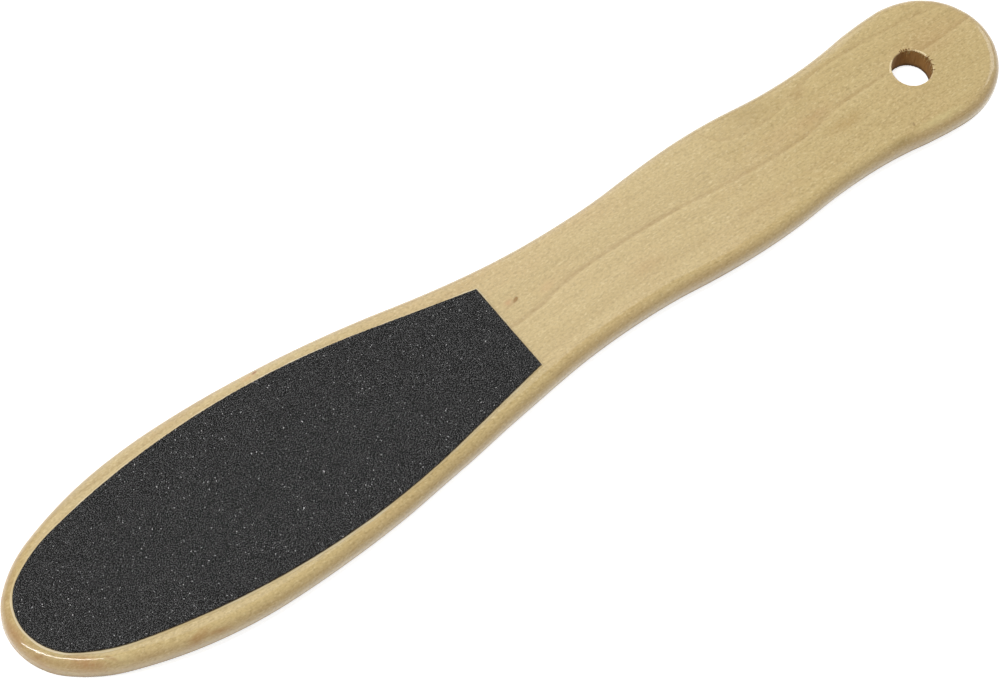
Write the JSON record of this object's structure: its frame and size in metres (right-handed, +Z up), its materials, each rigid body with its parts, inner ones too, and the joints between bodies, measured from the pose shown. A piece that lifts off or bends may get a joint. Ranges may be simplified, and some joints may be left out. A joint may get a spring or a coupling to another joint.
{
  "type": "foot file",
  "caption": "Flat wooden paddle file for feet: a long oval blade with an abrasive sheet glued to each face, and a waisted handle with a hang hole.",
  "frame": {"origin": "under the middle of the length and width, on the surface that the fine face lies on", "axes": "+X along the length towards the handle's end, +Y across the paddle, +Z up out of the coarse face"},
  "size_m": [0.265, 0.0496, 0.0075],
  "materials": {
    "wood": "light hardwood, sanded and clear lacquered, satin gloss",
    "glue": "clear yellowish adhesive film",
    "paper": "latex-filled paper backing, matt dark grey",
    "coarse_grit": "coarse black silicon carbide grit in resin",
    "fine_grit": "finer dark grey silicon carbide grit in resin"
  },
  "bodies": {
    "root": {"paddle": "wood", "coarse_adhesive": "glue", "coarse_backing": "paper", "coarse_grit": "coarse_grit", "fine_adhesive": "glue", "fine_backing": "paper", "fine_grit": "fine_grit"}
  },
  "joints": []
}
